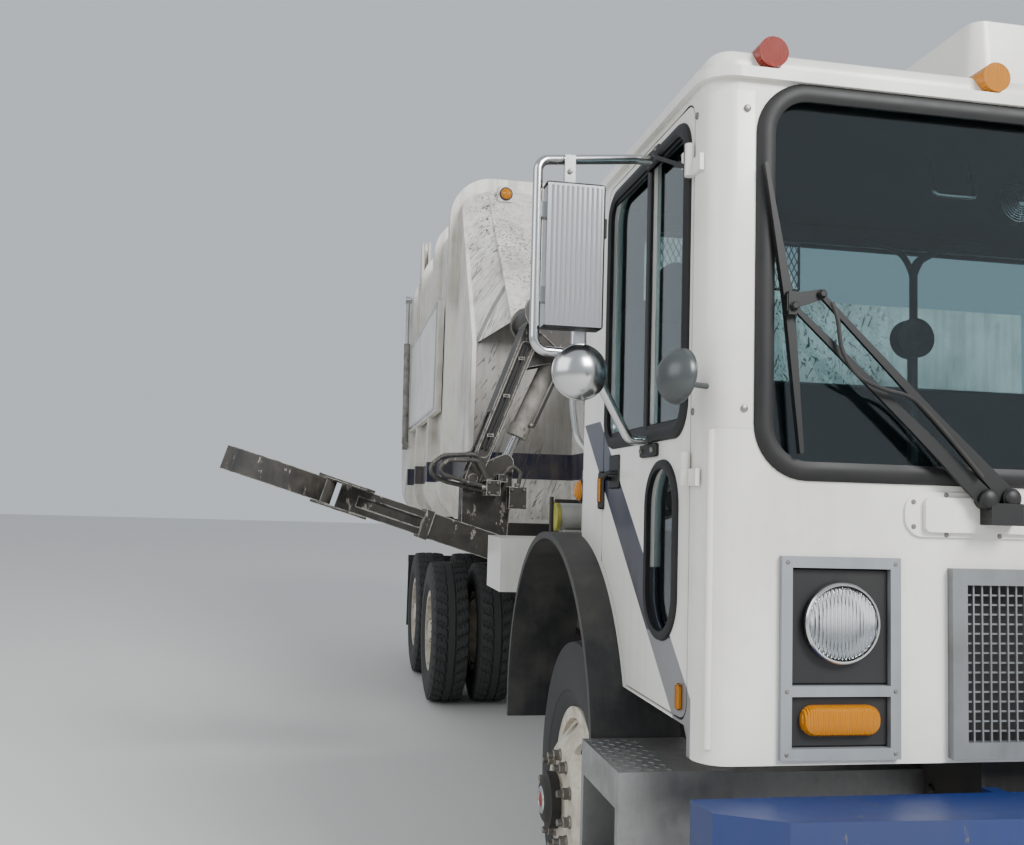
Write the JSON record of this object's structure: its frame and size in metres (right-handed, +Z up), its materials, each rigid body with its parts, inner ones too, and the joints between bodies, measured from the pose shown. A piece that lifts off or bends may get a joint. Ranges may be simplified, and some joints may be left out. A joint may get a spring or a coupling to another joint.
{
  "type": "refuse truck",
  "caption": "Worn white side-loading refuse truck with a cab over its engine, a ribbed barrel body and a curb-side lifting arm held out.",
  "frame": {"origin": "middle of the footprint of the whole truck, arm included, on the ground", "axes": "+Y runs from the nose to the tailgate, +Z up, and the curb side with the arm is at -X"},
  "size_m": [4.0336, 9.043, 4.11],
  "materials": {
    "amber_lens": "gloss",
    "arm_black": "satin",
    "bezel_grey": "satin",
    "body_white": "satin",
    "bumper_blue": "satin",
    "cab_white": "satin",
    "chassis_black": "satin",
    "cylinder_grey": "satin",
    "engine_grey": "matte",
    "fender_black": "matte",
    "interior_grey": "matte",
    "lamp_lens": "gloss",
    "mirror_aluminium": "satin",
    "packer_grey": "matte",
    "rim_cream": "satin",
    "rod_chrome": "gloss",
    "tank_grey": "satin",
    "tinted_glass": "gloss",
    "tread_plate": "satin",
    "tyre_rubber": "matte",
    "wiper_black": "matte"
  },
  "bodies": {
    "chassis": {"frame_rails": "chassis_black", "front_bumper": "bumper_blue", "engine": "engine_grey", "front_axle": "chassis_black", "rear_axles": "chassis_black", "tanks": "tank_grey", "side_box": "body_white", "steps": "tread_plate", "fenders": "fender_black", "cab_shell": "cab_white", "cab_nose": "cab_white", "cab_roof": "cab_white", "cab_glass": "tinted_glass", "lamp_bezels": "bezel_grey", "front_lamps": "lamp_lens", "grille": "bezel_grey", "marker_lamps": "amber_lens", "wipers": "wiper_black", "wiper_cover": "cab_white", "corner_mirrors": "mirror_aluminium", "cab_interior": "interior_grey", "body_sills": "chassis_black", "hopper": "body_white", "body_shell": "body_white", "body_hood": "body_white", "arm_shoulder": "arm_black"},
    "knuckle_right": {"knuckle_right": "chassis_black"},
    "wheel_front_right": {"tyre_front_right": "tyre_rubber", "rim_front_right": "rim_cream"},
    "knuckle_left": {"knuckle_left": "chassis_black"},
    "wheel_front_left": {"tyre_front_left": "tyre_rubber", "rim_front_left": "rim_cream"},
    "wheels_forward_right": {"tyres_forward_right": "tyre_rubber", "rims_forward_right": "rim_cream"},
    "wheels_forward_left": {"tyres_forward_left": "tyre_rubber", "rims_forward_left": "rim_cream"},
    "wheels_rear_right": {"tyres_rear_right": "tyre_rubber", "rims_rear_right": "rim_cream"},
    "wheels_rear_left": {"tyres_rear_left": "tyre_rubber", "rims_rear_left": "rim_cream"},
    "door_right": {"door_right": "cab_white", "door_glass_right": "tinted_glass", "mirror_right": "mirror_aluminium"},
    "door_left": {"door_left": "cab_white", "door_glass_left": "tinted_glass", "mirror_left": "mirror_aluminium"},
    "packer": {"packer": "packer_grey"},
    "tailgate": {"tailgate": "body_white"},
    "tailgate_barrels": {"tailgate_barrels": "cylinder_grey"},
    "tailgate_rods": {"tailgate_rods": "rod_chrome"},
    "arm_boom": {"arm_boom": "arm_black"},
    "tilt_barrel": {"tilt_barrel": "cylinder_grey"},
    "tilt_rod": {"tilt_rod": "rod_chrome"},
    "arm_head": {"arm_head": "arm_black"},
    "finger_front": {"finger_front": "arm_black"},
    "finger_rear": {"finger_rear": "arm_black"}
  },
  "joints": [
    {"name": "steer_right", "type": "hinge", "parent": "chassis", "child": "knuckle_right", "pos_m": [-0.36316, -3.0675, 0.525], "axis": [0, 0, 1], "range_deg": [-35, 35]},
    {"name": "spin_front_right", "type": "hinge", "parent": "knuckle_right", "child": "wheel_front_right", "pos_m": [-0.52816, -3.0675, 0.525], "axis": [1, 0, 0.0087], "continuous": true},
    {"name": "steer_left", "type": "hinge", "parent": "chassis", "child": "knuckle_left", "pos_m": [1.35684, -3.0675, 0.525], "axis": [0, 0, 1], "range_deg": [-35, 35]},
    {"name": "spin_front_left", "type": "hinge", "parent": "knuckle_left", "child": "wheel_front_left", "pos_m": [1.52184, -3.0675, 0.525], "axis": [1, 0, -0.0087], "continuous": true},
    {"name": "spin_forward_right", "type": "hinge", "parent": "chassis", "child": "wheels_forward_right", "pos_m": [-0.41566, 1.3785, 0.525], "axis": [1, 0, 0], "continuous": true},
    {"name": "spin_forward_left", "type": "hinge", "parent": "chassis", "child": "wheels_forward_left", "pos_m": [1.40934, 1.3785, 0.525], "axis": [1, 0, 0], "continuous": true},
    {"name": "spin_rear_right", "type": "hinge", "parent": "chassis", "child": "wheels_rear_right", "pos_m": [-0.41566, 2.6985, 0.525], "axis": [1, 0, 0], "continuous": true},
    {"name": "spin_rear_left", "type": "hinge", "parent": "chassis", "child": "wheels_rear_left", "pos_m": [1.40934, 2.6985, 0.525], "axis": [1, 0, 0], "continuous": true},
    {"name": "door_right_hinge", "type": "hinge", "parent": "chassis", "child": "door_right", "pos_m": [-0.67716, -4.1735, 1.975], "axis": [0, 0, 1], "range_deg": [0, 70]},
    {"name": "door_left_hinge", "type": "hinge", "parent": "chassis", "child": "door_left", "pos_m": [1.67084, -4.1735, 1.975], "axis": [0, 0, -1], "range_deg": [0, 70]},
    {"name": "packer_slide", "type": "slide", "parent": "chassis", "child": "packer", "axis": [0, 1, 0], "range_m": [0, 1.5]},
    {"name": "tailgate_hinge", "type": "hinge", "parent": "chassis", "child": "tailgate", "pos_m": [0.49684, 3.6285, 4.05], "axis": [1, 0, 0], "range_deg": [0, 85]},
    {"name": "tailgate_ram_swing", "type": "hinge", "parent": "chassis", "child": "tailgate_barrels", "pos_m": [0.49684, 3.5785, 2.05], "axis": [1, 0, 0], "range_deg": [-3.2, 0.2]},
    {"name": "tailgate_ram_slide", "type": "slide", "parent": "tailgate_barrels", "child": "tailgate_rods", "axis": [0, 0.1949, 0.9808], "range_m": [-0.002, 0.7418]},
    {"name": "boom_hinge", "type": "hinge", "parent": "chassis", "child": "arm_boom", "pos_m": [-0.48816, -1.3715, 2.465], "axis": [0, 1, 0], "range_deg": [-20, 115]},
    {"name": "wrist_hinge", "type": "hinge", "parent": "arm_boom", "child": "arm_head", "pos_m": [-0.80316, -1.3715, 1.625], "axis": [0, 1, 0], "range_deg": [-12, 75]},
    {"name": "tilt_swing", "type": "hinge", "parent": "arm_boom", "child": "tilt_barrel", "pos_m": [-0.38616, -1.3715, 2.276], "axis": [0, 1, 0], "range_deg": [-8, 8]},
    {"name": "tilt_slide", "type": "slide", "parent": "tilt_barrel", "child": "tilt_rod", "axis": [-0.4012, 0, -0.916], "range_m": [-0.06, 0.26]},
    {"name": "finger_front_hinge", "type": "hinge", "parent": "arm_head", "child": "finger_front", "pos_m": [-1.52216, -1.5215, 1.545], "axis": [0.2924, 0, 0.9563], "range_deg": [0, 60]},
    {"name": "finger_rear_hinge", "type": "hinge", "parent": "arm_head", "child": "finger_rear", "pos_m": [-1.52216, -1.2215, 1.545], "axis": [0.2924, 0, 0.9563], "range_deg": [-60, 0]}
  ],
  "couplings": [
    {"joint": "steer_left", "follows": "steer_right", "ratio": 1},
    {"joint": "tailgate_ram_swing", "follows": "tailgate_hinge", "ratio": -0.035329},
    {"joint": "tailgate_ram_slide", "follows": "tailgate_hinge", "m_per_rad": 0.49663},
    {"joint": "tilt_swing", "follows": "wrist_hinge", "ratio": -0.048293},
    {"joint": "tilt_slide", "follows": "wrist_hinge", "m_per_rad": 0.17418},
    {"joint": "finger_rear_hinge", "follows": "finger_front_hinge", "ratio": -1}
  ]
}
